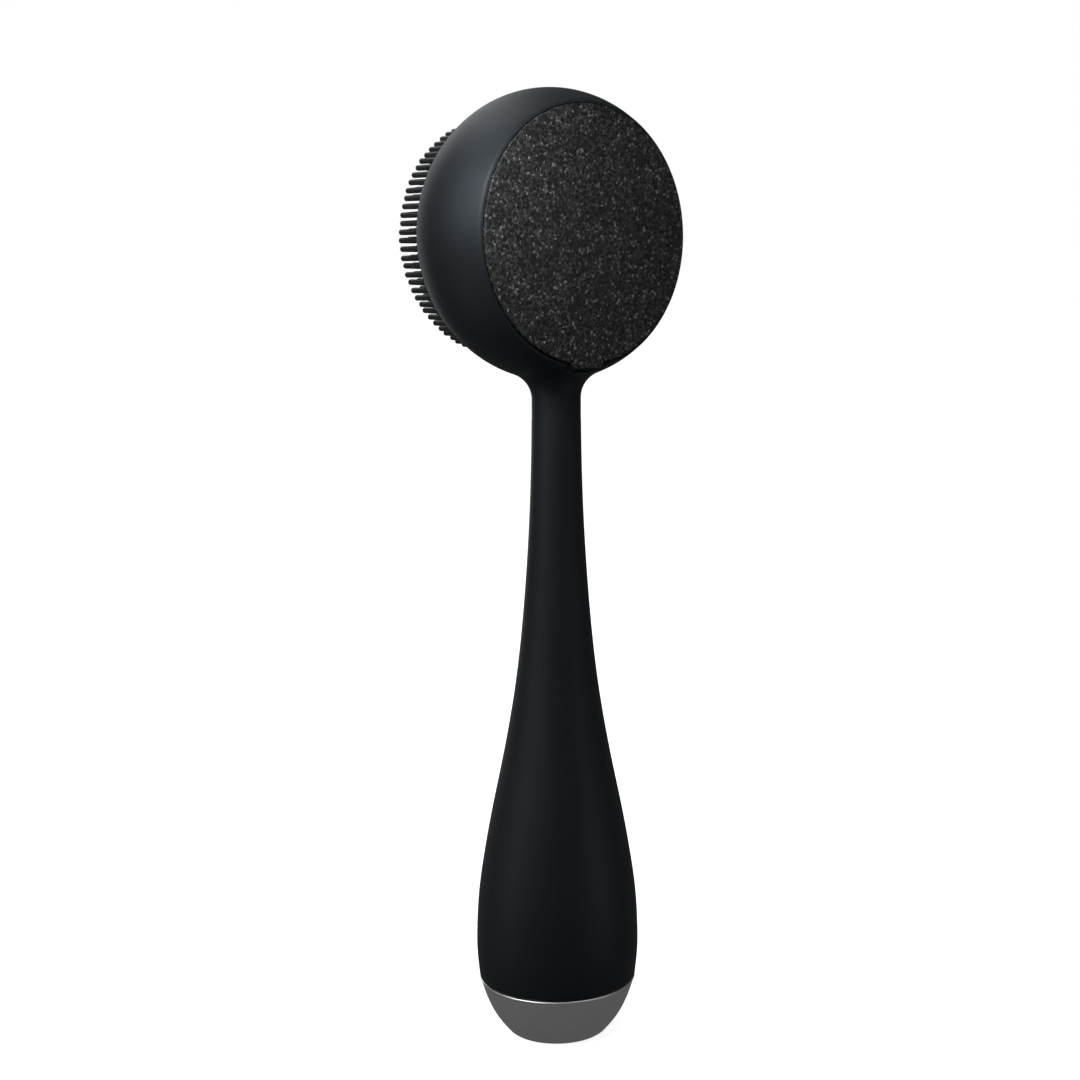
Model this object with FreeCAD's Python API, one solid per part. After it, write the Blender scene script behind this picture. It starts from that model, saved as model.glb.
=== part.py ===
"""Handheld vibrating skin scrubber: silicone bristles on one side of the head, a clip-on scrub pad on the other.

Millimetres. The origin is the middle of the flat base and +Z runs up the handle to the head.
The scrub pad faces -Y and the bristles face +Y. Each function makes the pieces of one group.
"""

import FreeCAD, Part
import math
import os

from FreeCAD import Placement, Rotation, Vector

# ---- driving dimensions ----
HEAD_Z = 229.0  # height of the head's centre
HEAD_R = 40.0  # radius of the round head, seen from the front
HEAD_DEPTH_R = 32.2  # half depth of the head's ellipsoid, before its two faces are cut flat
HEAD_SHIFT_Y = 1.0  # the ellipsoid's centre lies a little towards the bristles
PAD_RIM_Y = -13.4  # silicone rim round the scrub pad
BRISTLE_RIM_Y = 17.5  # silicone rim round the bristles
NECK_R = 6.9
NECK_TOP_Z = 196.0  # the neck runs up into the head
NECK_BLEND_R = 7.5
RIM_ROUND = 1.6

SKIN = 1.6  # silicone thickness
WALL = 1.6  # rigid core's wall
SEAM_Z = 16.3  # where the base cap meets the silicone
SEAM_GAP = 0.2
BASE_R = 13.5  # flat that the object stands on

PAD_FACE_Y = -14.15
PAD_R = 34.8
PAD_THICK = 2.0
PLATE_THICK = 1.4
TAB_WIDTH = 10.9
TAB_REACH = 1.25  # how far the pull tab stands past the pad's edge
TAB_CORNER_R = 1.0
POCKET_GAP = 0.3  # between the pad's edge and the silicone
POCKET_LEDGE_Y = -10.6  # the silicone ledge that the pad's plate rests near
POCKET_LEDGE_WIDTH = 2.0
NOTCH_REACH = 2.15  # the room round the pull tab, past the pad's edge
NOTCH_WIDTH = 13.1
KEEPER_R = 26.0
KEEPER_BORE_R = 6.0
KEEPER_THICK = 0.8
MAGNET_R = 4.0
MAGNET_THICK = 1.6
MAGNET_RING_R = 17.0

CORE_PAD_FACE_Y = -9.6  # rigid face under the scrub pad
CORE_PAD_WALL = 2.6
CORE_BRISTLE_FACE_Y = 13.0  # rigid face under the bristle pad
CORE_BRISTLE_WALL = 1.8

BRISTLE_BASE_R = 33.2
BRISTLE_BASE_Y = 16.6  # top of the bristle pad's base
BRISTLE_TIP_Y = 28.1
BRISTLE_R = 0.8
BRISTLE_RING_R = 32.35  # the outermost ring
BRISTLE_RING_STEP = 2.6
BRISTLE_PITCH = 2.34
BRISTLE_START = 187.0  # degrees round the head to the bristles that line up
BRISTLE_GAP = 0.15  # between the bristle pad's base and the silicone

SHELL_FOOT = 25.0  # lower end of the half shells
SCREW_X = 22.0
SCREW_Z = 19.0  # above and below the head's centre
SCREW_SINK = 1.9
SCREW_BOSS_R = 3.4

CELL_R = 7.25  # AA cell
CELL_LENGTH = 50.5
CELL_X = 7.4
CELL_Z = 11.6  # lower end of the cells
LEG_Y = 9.3  # the contact carrier's guide legs

THREAD_LEAD = 12.0  # two starts, 6 mm apart
THREAD_STARTS = 2
PLUG_R = 18.2
PLUG_TOP = 27.0
SEAL_Z = 24.8
COLLAR_BORE_R = 18.5
COLLAR_TOP = 30.5
COLLAR_SPIGOT_R = 19.9
THREAD_R = 19.05
THREAD_WIDTH = 1.5
THREAD_RIDGE_Z = (17.5, 22.5)
THREAD_GROOVE_Z = (10.0, 23.4)
THREAD_CLEARANCE = 0.2

BUTTON_Z = 104.0
BUTTON_R = 5.6
BUTTON_TRAVEL = 0.6
BUTTON_GAP = 0.25
BUTTON_SEAT_DEPTH = 2.6  # the button's seat below the handle's outside
PLUNGER_R = 2.4
PLUNGER_FLANGE_R = 4.4
SWITCH_HEIGHT = 2.7
BOARD_Y = 1.0
BOARD_THICK = 1.2
BOARD_SCREW_Z = (83.5, 98.0)

MOTOR_Y = 2.0
MOTOR_R = 8.0
MOTOR_Z = 205.0
MOTOR_LENGTH = 22.0

# The handle's outline from the seam up, as (radius, height).
HANDLE_OUTLINE = [
    (22.6, SEAM_Z), (23.35, 24.0), (23.35, 31.0), (22.7, 41.6), (21.0, 53.6), (18.85, 65.5),
    (16.4, 77.3), (14.1, 89.1), (12.15, 100.8), (10.65, 112.4), (9.5, 124.0), (8.6, 135.5),
    (7.85, 147.5), (7.35, 159.0), (7.05, 170.5), (NECK_R, 183.0),
]
# The base cap's outline from the flat up to the seam.
CAP_OUTLINE = [(BASE_R, 0.0), (14.55, 0.5), (16.7, 3.1), (19.2, 7.0), (21.2, 11.7), (22.6, SEAM_Z - SEAM_GAP)]

Y, Z = Vector(0, 1, 0), Vector(0, 0, 1)
HEAD_CENTRE = Vector(0, 0, HEAD_Z)
SCREW_PLACES = [(sx * SCREW_X, HEAD_Z + sz * SCREW_Z) for sx in (-1, 1) for sz in (-1, 1)]
BUTTON_PLACE = Vector(0, 0, BUTTON_Z)
MAGNET_Y = CORE_PAD_FACE_Y + 0.1


# ---- helpers ----
def rz(radius, height):
    """A point of an outline that turns round the handle's axis."""
    return Vector(radius, 0, height)


def tube(outer, inner, y0, y1, centre):
    """A ring about an axis along Y, from y0 to y1; inner 0 makes a disc."""
    base = Vector(centre.x, y0, centre.z)
    ring = Part.makeCylinder(outer, y1 - y0, base, Y)
    return ring.cut(Part.makeCylinder(inner, y1 - y0, base, Y)) if inner else ring


def disc_z(radius, z0, z1, x=0.0, y=0.0):
    return Part.makeCylinder(radius, z1 - z0, Vector(x, y, z0), Z)


def ring_z(outer, inner, z0, z1):
    return disc_z(outer, z0, z1).cut(disc_z(inner, z0, z1))


def block(x0, x1, y0, y1, z0, z1):
    return Part.makeBox(x1 - x0, y1 - y0, z1 - z0, Vector(x0, y0, z0))


def spline(points):
    curve = Part.BSplineCurve()
    curve.interpolate(points)
    return curve.toShape()


def spin(edges):
    """The solid that a closed outline makes when it turns round the handle's axis."""
    return Part.Face(Part.Wire(edges)).revolve(Vector(), Z, 360)


def head(inset, pad_y, bristle_y):
    """The head: an ellipsoid turned about Y, smaller by inset all round, with its two faces cut flat."""
    radius, depth = HEAD_R - inset, HEAD_DEPTH_R - inset
    centre = Vector(0, HEAD_SHIFT_Y, 0)
    ellipse = Part.Ellipse(centre + Vector(0, 0, radius), centre + Vector(0, depth, 0), centre)

    def on_rim(y):
        return Vector(0, y, radius * math.sqrt(1 - ((y - HEAD_SHIFT_Y) / depth) ** 2))

    low, high = on_rim(pad_y), on_rim(bristle_y)
    turns = sorted(ellipse.parameter(p) for p in (low, high))
    if turns[1] - turns[0] > math.pi:
        turns = [turns[1] - 2 * math.pi, turns[0]]
    outline = Part.Wire([
        ellipse.toShape(*turns),
        Part.LineSegment(high, Vector(0, bristle_y, 0)).toShape(),
        Part.LineSegment(Vector(0, bristle_y, 0), Vector(0, pad_y, 0)).toShape(),
        Part.LineSegment(Vector(0, pad_y, 0), low).toShape(),
    ])
    solid = Part.Face(outline).revolve(Vector(), Y, 360)
    solid.translate(HEAD_CENTRE)
    return solid


def handle(inset, bottom_z):
    """The handle and neck as one turned solid, smaller by inset, from bottom_z up into the head."""
    points = [rz(r - inset, z) for r, z in HANDLE_OUTLINE]
    side = spline(points)
    foot, shoulder = points[0], points[-1]
    top = rz(NECK_R - inset, NECK_TOP_Z)
    solid = spin([
        Part.LineSegment(rz(0, SEAM_Z), foot).toShape(),
        side,
        Part.LineSegment(shoulder, top).toShape(),
        Part.LineSegment(top, rz(0, NECK_TOP_Z)).toShape(),
        Part.LineSegment(rz(0, NECK_TOP_Z), rz(0, SEAM_Z)).toShape(),
    ])
    if bottom_z > SEAM_Z:
        solid = solid.cut(disc_z(60, SEAM_Z - 5, bottom_z))
    return solid


def body_form(inset, pad_y, bristle_y):
    """Head and handle in one solid, with the neck blended into the head."""
    body = head(inset, pad_y, bristle_y).fuse(handle(inset, SEAM_Z))
    joint = [e for e in body.Edges if abs(e.CenterOfMass.z - HEAD_Z + HEAD_R - inset) < 2.5 and e.Length > 20]
    return body.makeFillet(NECK_BLEND_R + inset, joint).Solids[0]


def rim_edges(body, y):
    """The round edges of the head's flat face at y."""
    return [e for e in body.Edges if abs(e.BoundBox.YMin - y) < 0.01 and abs(e.BoundBox.YMax - y) < 0.01]


def tab_outline(reach, width, y0, y1):
    """The pull tab below the pad's edge, with rounded lower corners."""
    low = HEAD_Z - PAD_R - reach
    tab = block(-width / 2, width / 2, y0, y1, low, HEAD_Z - PAD_R + 6)
    corners = [e for e in tab.Edges if abs(e.CenterOfMass.z - low) < 0.01 and e.BoundBox.YLength > 0.5]
    return tab, corners


def screw(length, thread_r, head_r, head_h):
    """A pan-head screw along +Y whose head lies below y = 0, with a cross recess."""
    origin = Vector()
    solid = tube(thread_r, 0, 0, length, origin).fuse(tube(head_r, 0, -head_h, 0, origin))
    arm = head_r * 0.6
    slot = head_r * 0.13
    for a, b in ((arm, slot), (slot, arm)):
        solid = solid.cut(block(-a, a, -head_h - 0.1, -head_h * 0.4, -b, b))
    return solid


def placed(shape, places, turned=False):
    """Separate copies of one shape at several places; turned ones point along -Y."""
    copies = []
    for place in places:
        one = shape.copy()
        one.Placement = Placement(place, Rotation(Z, 180 if turned else 0))
        copies.append(one)
    return Part.Compound(copies)


def helix_ridge(radius, depth, width, z0, z1, start_angle):
    """One start of the cap's thread: a square ridge that stands out of radius - 0.4 to radius + depth."""
    height = z1 - z0
    path = Part.Wire(Part.makeHelix(THREAD_LEAD, height, radius).Edges)
    inner, outer = radius - 0.4, radius + depth
    corners = [(inner, -width / 2), (outer, -width / 2 + 0.2), (outer, width / 2 - 0.2), (inner, width / 2)]
    section = Part.makePolygon([Vector(r, 0, z) for r, z in corners + corners[:1]])
    ridge = path.makePipeShell([section], True, True)
    ridge = Part.Solid(ridge) if ridge.ShapeType != "Solid" else ridge
    ridge.Placement = Placement(Vector(0, 0, z0), Rotation(Z, start_angle))
    return ridge


def lead_tube(points, radius):
    """A wire of straight runs joined by tangent arcs."""
    edges, start = [], points[0]
    for before, corner, after in zip(points, points[1:], points[2:]):
        a, b = (before - corner), (after - corner)
        turn = math.pi - a.getAngle(b)
        bend = 0.45 * min(a.Length, b.Length) / math.tan(turn / 2)
        reach = bend * math.tan(turn / 2)
        a.normalize()
        b.normalize()
        first, last = corner + a * reach, corner + b * reach
        middle_way = (a + b).normalize()
        middle = corner + middle_way * (bend / math.cos(turn / 2) - bend)
        edges += [Part.LineSegment(start, first).toShape(), Part.Arc(first, middle, last).toShape()]
        start = last
    edges.append(Part.LineSegment(start, points[-1]).toShape())
    path = Part.Wire(edges)
    section = Part.Wire(Part.makeCircle(radius, points[0], points[1] - points[0]))
    return path.makePipeShell([section], True, False)


# ---- pieces ----
def sleeve():
    """The silicone skin over head, neck and handle, open at the bristles, the pad, the button and the base."""
    outer = body_form(0, PAD_RIM_Y, BRISTLE_RIM_Y)
    outer = outer.makeFillet(RIM_ROUND, rim_edges(outer, PAD_RIM_Y) + rim_edges(outer, BRISTLE_RIM_Y))
    skin = outer.cut(core_body())
    pocket_r = PAD_R + POCKET_GAP
    front, back = PAD_RIM_Y - 5, BRISTLE_RIM_Y + 5
    skin = skin.cut(tube(pocket_r, 0, front, POCKET_LEDGE_Y, HEAD_CENTRE))
    skin = skin.cut(tube(pocket_r - POCKET_LEDGE_WIDTH, 0, front, CORE_PAD_FACE_Y + 0.01, HEAD_CENTRE))
    skin = skin.cut(tube(BRISTLE_BASE_R + BRISTLE_GAP, 0, CORE_BRISTLE_FACE_Y - 0.01, back, HEAD_CENTRE))
    notch, corners = tab_outline(NOTCH_REACH, NOTCH_WIDTH, front, POCKET_LEDGE_Y)
    skin = skin.cut(notch.makeFillet(TAB_CORNER_R + 0.2, corners))
    return {"silicone_sleeve": skin.cut(tube(BUTTON_R + BUTTON_GAP, 0, 0, 30, BUTTON_PLACE))}


def core_body():
    """The outer form of the rigid core, which the silicone is moulded over."""
    return body_form(SKIN, CORE_PAD_FACE_Y, CORE_BRISTLE_FACE_Y)


def cavity():
    """The hollow inside the core."""
    inset = SKIN + WALL
    room = head(inset, CORE_PAD_FACE_Y + CORE_PAD_WALL, CORE_BRISTLE_FACE_Y - CORE_BRISTLE_WALL)
    return room.fuse(handle(inset, COLLAR_TOP))


def core_shells():
    """Two rigid half shells that meet on the plane y = 0, screwed together under the scrub pad."""
    body = core_body()
    shell = body.cut(cavity()).cut(disc_z(60, SEAM_Z - 5, SHELL_FOOT))
    shell = shell.cut(disc_z(COLLAR_SPIGOT_R + 0.05, SEAM_Z - 5, COLLAR_TOP))
    front_room = CORE_BRISTLE_FACE_Y - CORE_BRISTLE_WALL
    rear_room = CORE_PAD_FACE_Y + CORE_PAD_WALL
    half = block(-80, 80, 0, 80, 0, 300)
    front, rear = shell.common(half), shell.cut(half)
    for x, z in SCREW_PLACES:
        place = Vector(x, 0, z)
        front = front.fuse(tube(SCREW_BOSS_R, 0, 0, front_room + 0.2, place))
        front = front.cut(tube(1.1, 0, -1, front_room - 1.5, place))
        rear = rear.fuse(tube(SCREW_BOSS_R, 0, rear_room - 0.2, 0, place)).cut(tube(1.6, 0, -20, 1, place))
        rear = rear.cut(tube(2.9, 0, -20, CORE_PAD_FACE_Y + SCREW_SINK, place))
    for place in magnet_places():
        rear = rear.cut(tube(MAGNET_R + 0.05, 0, CORE_PAD_FACE_Y - 1, MAGNET_Y + MAGNET_THICK, place))
    seat_y = surface_r(BUTTON_Z) - BUTTON_SEAT_DEPTH
    front = front.fuse(tube(BUTTON_R + 1.0, 0, seat_y - 1.8, seat_y, BUTTON_PLACE).common(body))
    front = front.cut(tube(PLUNGER_R + 0.2, 0, 0, 30, BUTTON_PLACE))
    front = front.cut(tube(BUTTON_R + BUTTON_GAP, 0, seat_y, 30, BUTTON_PLACE))
    front = front.cut(tube(PLUNGER_FLANGE_R + 0.2, 0, seat_y - 0.4, 30, BUTTON_PLACE))
    for z in BOARD_SCREW_Z:
        place = Vector(0, 0, z)
        rear = rear.fuse(tube(2.2, 0, SKIN + WALL / 2 - surface_r(z), BOARD_Y, place))
        rear = rear.cut(tube(0.75, 0, BOARD_Y - 5, BOARD_Y, place))
    return {"core_front": front.removeSplitter(), "core_rear": rear.removeSplitter()}


def magnet_places():
    """Three places round the head's face."""
    return [
        Vector(MAGNET_RING_R * math.cos(math.radians(a)), 0, HEAD_Z + MAGNET_RING_R * math.sin(math.radians(a)))
        for a in (90, 210, 330)
    ]


def scrub_pad():
    """The removable pad: a gritty face on a rigid plate, with a steel disc that the magnets hold."""
    plate_y = PAD_FACE_Y + PAD_THICK
    back_y = plate_y + PLATE_THICK
    pad = tube(PAD_R, 0, PAD_FACE_Y, plate_y, HEAD_CENTRE)
    tab, corners = tab_outline(TAB_REACH, TAB_WIDTH, PAD_FACE_Y, plate_y)
    pad = pad.fuse(tab.makeFillet(TAB_CORNER_R, corners)).removeSplitter()
    face = [e for e in pad.Edges if e.BoundBox.YMax < PAD_FACE_Y + 0.01]
    pad = pad.makeFillet(0.35, face)
    plate = tube(PAD_R - 0.4, 0, plate_y, back_y, HEAD_CENTRE)
    tab, corners = tab_outline(TAB_REACH - 0.4, TAB_WIDTH - 0.8, plate_y, back_y)
    plate = plate.fuse(tab.makeFillet(TAB_CORNER_R, corners)).removeSplitter()
    keeper = tube(KEEPER_R, KEEPER_BORE_R, back_y - KEEPER_THICK, back_y, HEAD_CENTRE)
    plate = plate.cut(tube(KEEPER_R + 0.05, KEEPER_BORE_R - 0.05, back_y - KEEPER_THICK, back_y + 1, HEAD_CENTRE))
    magnets = [tube(MAGNET_R, 0, MAGNET_Y, MAGNET_Y + MAGNET_THICK, place) for place in magnet_places()]
    return {"scrub_pad": pad, "pad_plate": plate, "keeper_ring": keeper, "pad_magnets": Part.Compound(magnets)}


def bristle_places():
    """Ring by ring, the middle of every bristle, as (x, z) about the head's centre."""
    places, radius = [], BRISTLE_RING_R
    while radius > BRISTLE_R:
        count = round(2 * math.pi * radius / BRISTLE_PITCH)
        for k in range(count):
            a = math.radians(BRISTLE_START + 360 * k / count)
            places.append((radius * math.cos(a), radius * math.sin(a)))
        radius -= BRISTLE_RING_STEP
    return places


def bristle_pad():
    """One silicone moulding: a round base with rings of round-ended bristles."""
    base = tube(BRISTLE_BASE_R, 0, CORE_BRISTLE_FACE_Y, BRISTLE_BASE_Y, HEAD_CENTRE)
    root, shoulder = BRISTLE_BASE_Y - 0.5, BRISTLE_TIP_Y - BRISTLE_R
    corner, tip = Vector(BRISTLE_R, shoulder, 0), Vector(0, BRISTLE_TIP_Y, 0)
    diagonal = BRISTLE_R * math.sqrt(0.5)
    outline = Part.Wire([
        Part.LineSegment(Vector(0, root, 0), Vector(BRISTLE_R, root, 0)).toShape(),
        Part.LineSegment(Vector(BRISTLE_R, root, 0), corner).toShape(),
        Part.Arc(corner, Vector(diagonal, shoulder + diagonal, 0), tip).toShape(),
        Part.LineSegment(tip, Vector(0, root, 0)).toShape(),
    ])
    bristle = Part.Face(outline).revolve(Vector(), Y, 360)
    bristles = []
    for x, z in bristle_places():
        one = bristle.copy()
        one.translate(Vector(x, 0, HEAD_Z + z))
        bristles.append(one)
    return {"bristle_pad": base.fuse(bristles)}


def head_screws():
    """Four screws that hold the half shells together."""
    seat_y = CORE_PAD_FACE_Y + SCREW_SINK
    return {"core_screws": placed(screw(14.5, 1.05, 2.7, 1.6), [Vector(x, seat_y, z) for x, z in SCREW_PLACES])}


def collar():
    """The threaded ring at the handle's foot that the base cap screws into."""
    outer = core_body().common(disc_z(60, SEAM_Z, SHELL_FOOT - 0.05))
    ring = outer.fuse(disc_z(COLLAR_SPIGOT_R, SEAM_Z, COLLAR_TOP)).cut(disc_z(COLLAR_BORE_R, 0, COLLAR_TOP + 1))
    depth = THREAD_R - COLLAR_BORE_R + THREAD_CLEARANCE
    low, high = THREAD_GROOVE_Z
    for start in range(THREAD_STARTS):
        angle = 360 * start / THREAD_STARTS + 360 * (low - SEAM_Z) / THREAD_LEAD
        ring = ring.cut(helix_ridge(COLLAR_BORE_R, depth, THREAD_WIDTH + 2.5 * THREAD_CLEARANCE, low, high, angle))
    return {"thread_collar": ring}


def base_cap():
    """The metal-finished cap, its threaded plug and its seal."""
    outer = spline([rz(r, z) for r, z in CAP_OUTLINE])
    wall = 1.5
    rim_r, rim_z = CAP_OUTLINE[-1]
    inner_points = [(BASE_R - wall, wall), (15.0, 3.0), (17.6, 7.0), (19.6, 11.7), (rim_r - wall, rim_z)]
    inner = spline([rz(r, z) for r, z in inner_points])
    first, last = inner_points[0], inner_points[-1]
    cap = spin([
        Part.LineSegment(rz(0, 0), rz(BASE_R, 0)).toShape(),
        outer,
        Part.LineSegment(rz(*CAP_OUTLINE[-1]), rz(*last)).toShape(),
        inner,
        Part.LineSegment(rz(*first), rz(0, wall)).toShape(),
        Part.LineSegment(rz(0, wall), rz(0, 0)).toShape(),
    ])
    foot = 9.0
    plug = ring_z(PLUG_R, PLUG_R - 1.5, foot, PLUG_TOP)
    plug = plug.fuse([
        disc_z(17.4, foot - 0.5, foot + 0.3),
        ring_z(11.5, 9.5, wall, foot),
        ring_z(18.9, PLUG_R - 0.5, 10.6, 12.2),
    ])
    plug = plug.cut(ring_z(PLUG_R + 1, PLUG_R - 0.9, SEAL_Z - 0.8, SEAL_Z + 0.8))
    low, high = THREAD_RIDGE_Z
    for start in range(THREAD_STARTS):
        angle = 360 * start / THREAD_STARTS + 360 * (low - SEAM_Z) / THREAD_LEAD
        plug = plug.fuse(helix_ridge(PLUG_R, THREAD_R - PLUG_R, THREAD_WIDTH, low, high, angle))
    seal = Part.makeTorus(PLUG_R - 0.3, 0.55, Vector(0, 0, SEAL_Z), Z)
    return {"base_cap": cap, "cap_plug": plug, "cap_seal": seal}


def contacts():
    """The carrier inside the cap, which doesn't turn, with the strip that bridges the two cells."""
    carrier = disc_z(16.3, 9.4, 10.7)
    for side in (-1, 1):
        carrier = carrier.fuse(block(-2.4, 2.4, side * LEG_Y - 0.8, side * LEG_Y + 0.8, 10.7, 22.0))
    strip = block(-11.5, 11.5, -3.5, 3.5, 10.7, 11.1)
    for side in (-1, 1):
        strip = strip.fuse(disc_z(2.4, 11.1, 11.5, side * CELL_X))
    return {"contact_carrier": carrier, "bridge_contact": strip.removeSplitter()}


def battery_bay():
    """Two AA cells in their tray, with the contacts at its closed end."""
    top = CELL_Z + CELL_LENGTH
    tray = block(-CELL_X, CELL_X, -8.15, 8.15, 13.0, top + 2.2)
    pieces = {}
    for side in (-1, 1):
        tray = tray.fuse(disc_z(8.15, 13.0, top + 2.2, side * CELL_X))
    for side, name in ((-1, "battery_left"), (1, "battery_right")):
        tray = tray.cut(disc_z(CELL_R + 0.12, 0, top + 1.1, side * CELL_X))
        can = disc_z(CELL_R, CELL_Z, top - 1.2, side * CELL_X)
        nub = disc_z(2.7, top - 1.2, top, side * CELL_X)
        cell = can.makeFillet(0.6, [e for e in can.Edges if e.Length > 20 and len(e.Vertexes) == 1]).fuse(nub)
        if side > 0:
            cell = cell.mirror(Vector(0, 0, CELL_Z + CELL_LENGTH / 2), Z)
        pieces[name] = cell
    flange = disc_z(19.6, COLLAR_TOP + 0.1, COLLAR_TOP + 1.6)
    tray = tray.fuse(flange.cut(block(-CELL_X, CELL_X, -8, 8, 30, 33)))
    for side in (-1, 1):
        tray = tray.cut(disc_z(CELL_R + 0.12, 0, top + 1.1, side * CELL_X))
        for x in (-3.2, 3.2):
            y = side * LEG_Y
            tray = tray.fuse(block(x - 0.5, x + 0.5, y - 1.2, y + 1.2, 13.0, COLLAR_TOP + 0.5))
    for name, side in (("positive_contact", -1), ("negative_contact", 1)):
        x = side * CELL_X
        tray = tray.cut(block(x - 1.6, x + 1.6, BOARD_Y - 0.45, BOARD_Y + 0.1, top, top + 3))
        plate = disc_z(4.5, top + 0.15, top + 0.5, x)
        tail = block(x - 1.5, x + 1.5, BOARD_Y - 0.35, BOARD_Y, top + 0.4, top + 8.0)
        contact = plate.fuse(tail)
        pieces[name] = contact
    pieces["battery_tray"] = tray.removeSplitter()
    return pieces


def electronics():
    """The control board with its switch, chips and the two motor leads."""
    face = BOARD_Y + BOARD_THICK
    board = block(-6.0, 6.0, BOARD_Y, face, 80.0, 112.0).fuse(block(-9.4, 9.4, BOARD_Y, face, 66.5, 80.0))
    for z in BOARD_SCREW_Z:
        board = board.cut(tube(0.95, 0, 0, 5, Vector(0, 0, z)))
    switch = block(-2.4, 2.4, face, face + 2.0, BUTTON_Z - 2.4, BUTTON_Z + 2.4)
    switch = switch.fuse(tube(1.2, 0, face + 2.0, face + SWITCH_HEIGHT, BUTTON_PLACE))
    parts = [
        block(-2.5, 2.5, face, face + 1.2, 87.0, 92.0),
        block(-7.5, -3.2, face, face + 2.2, 72.0, 77.0),
        disc_z(2.4, 69.5, 77.5, 5.0, face + 2.4),
        block(2.2, 4.4, face, face + 0.8, 95.0, 97.0),
        block(-4.4, -2.2, face, face + 0.8, 95.0, 97.0),
    ]
    leads = {}
    for name, side in (("motor_lead_red", -1), ("motor_lead_black", 1)):
        route = [(3.2, 0.45, 107.0), (3.0, 0.0, 124.0), (1.2, 0.3, 150.0), (1.3, -0.3, 176.0), (3.2, 0.6, 194.5),
                 (4.0, 2.0, 201.7)]
        leads[name] = lead_tube([Vector(side * x, y, z) for x, y, z in route], 0.5)
    screws = placed(screw(4.5, 0.75, 1.6, 1.1), [Vector(0, face, z) for z in BOARD_SCREW_Z], turned=True)
    return {
        "control_board": board.removeSplitter(),
        "power_switch": switch,
        "board_components": Part.Compound(parts),
        "board_screws": screws,
        **leads,
    }


def surface_r(z):
    """The handle's outer radius at height z, between the two outline points around it."""
    for (r0, z0), (r1, z1) in zip(HANDLE_OUTLINE, HANDLE_OUTLINE[1:]):
        if z0 <= z <= z1:
            return r0 + (r1 - r0) * (z - z0) / (z1 - z0)
    return NECK_R


def power_button():
    """The silicone button on the bristle side and the plunger that carries its push to the switch."""
    top = surface_r(BUTTON_Z) + 0.35
    seat_y = surface_r(BUTTON_Z) - BUTTON_SEAT_DEPTH
    low = seat_y + BUTTON_TRAVEL + 0.25
    crown_r = 16.0
    crown = Part.makeSphere(crown_r, Vector(0, top - crown_r, BUTTON_Z))
    button = tube(BUTTON_R, 0, low, top + 1, BUTTON_PLACE).common(crown)
    switch_top = BOARD_Y + BOARD_THICK + SWITCH_HEIGHT
    plunger = tube(PLUNGER_R, 0, switch_top + BUTTON_TRAVEL + 0.05, low, BUTTON_PLACE)
    plunger = plunger.fuse(tube(PLUNGER_FLANGE_R, 0, low - 0.5, low, BUTTON_PLACE))
    gasket = tube(BUTTON_R + BUTTON_GAP, PLUNGER_FLANGE_R + 0.2, seat_y, seat_y + 0.2, BUTTON_PLACE)
    return {"power_button": button, "button_plunger": plunger, "button_gasket": gasket}


def motor():
    """The vibration motor: can, end bell, shaft and off-centre weight, in a cradle with a strap."""
    top = MOTOR_Z + MOTOR_LENGTH
    can = disc_z(MOTOR_R, MOTOR_Z + 2.5, top, 0, MOTOR_Y)
    can = can.fuse(disc_z(3.2, top, top + 1.2, 0, MOTOR_Y))
    can = can.cut(disc_z(1.06, MOTOR_Z, top + 5, 0, MOTOR_Y))
    bell = disc_z(MOTOR_R - 0.3, MOTOR_Z, MOTOR_Z + 2.5, 0, MOTOR_Y)
    for side in (-1, 1):
        x = side * 4.0
        bell = bell.fuse(block(x - 0.9, x + 0.9, MOTOR_Y - 0.3, MOTOR_Y + 0.3, MOTOR_Z - 3.2, MOTOR_Z))
    shaft = disc_z(1.0, MOTOR_Z + 4, top + 10.5, 0, MOTOR_Y)
    weight = disc_z(7.4, top + 2.2, top + 9.8, 0, MOTOR_Y).cut(block(-10, 10, MOTOR_Y + 1.8, 30, top, top + 12))
    weight = weight.cut(disc_z(1.0, top, top + 12, 0, MOTOR_Y))
    clear = MOTOR_R + 0.05
    back = CORE_BRISTLE_FACE_Y - CORE_BRISTLE_WALL
    cradle = block(-13.0, 13.0, 0.6, back, 210.5, 222.5).cut(disc_z(clear, 200, 230, 0, MOTOR_Y))
    strap = block(-13.0, 13.0, 0.2, 0.6, 213, 220).cut(disc_z(clear, 200, 230, 0, MOTOR_Y))
    band = disc_z(clear + 0.6, 213, 220, 0, MOTOR_Y).cut(disc_z(clear, 200, 230, 0, MOTOR_Y))
    band = band.cut(block(-20, 20, 0.6, 20, 200, 230))
    strap = strap.fuse(band)
    ears = [Vector(side * 11.0, 0, 216.5) for side in (-1, 1)]
    for ear in ears:
        strap = strap.cut(tube(0.9, 0, -1, 2, ear))
        cradle = cradle.cut(tube(0.7, 0, 0, 5.5, ear))
    screws = placed(screw(4.6, 0.7, 1.5, 0.9), [ear + Vector(0, 0.2, 0) for ear in ears])
    return {
        "motor_can": can,
        "motor_end_bell": bell,
        "motor_shaft": shaft,
        "eccentric_weight": weight,
        "motor_cradle": cradle,
        "motor_strap": strap,
        "strap_screws": screws,
    }


def main():
    os.makedirs("parts", exist_ok=True)
    pieces = {}
    for group in (sleeve, core_shells, scrub_pad, bristle_pad, head_screws, collar, base_cap, contacts, battery_bay,
                  electronics, power_button, motor):
        pieces.update(group())
    for name, shape in pieces.items():
        shape.exportStep(f"parts/{name}.step")
        print(f"{name}: {len(shape.Solids)} solids, {shape.Volume:.1f} mm3, valid {shape.isValid()}")


main()
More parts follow.
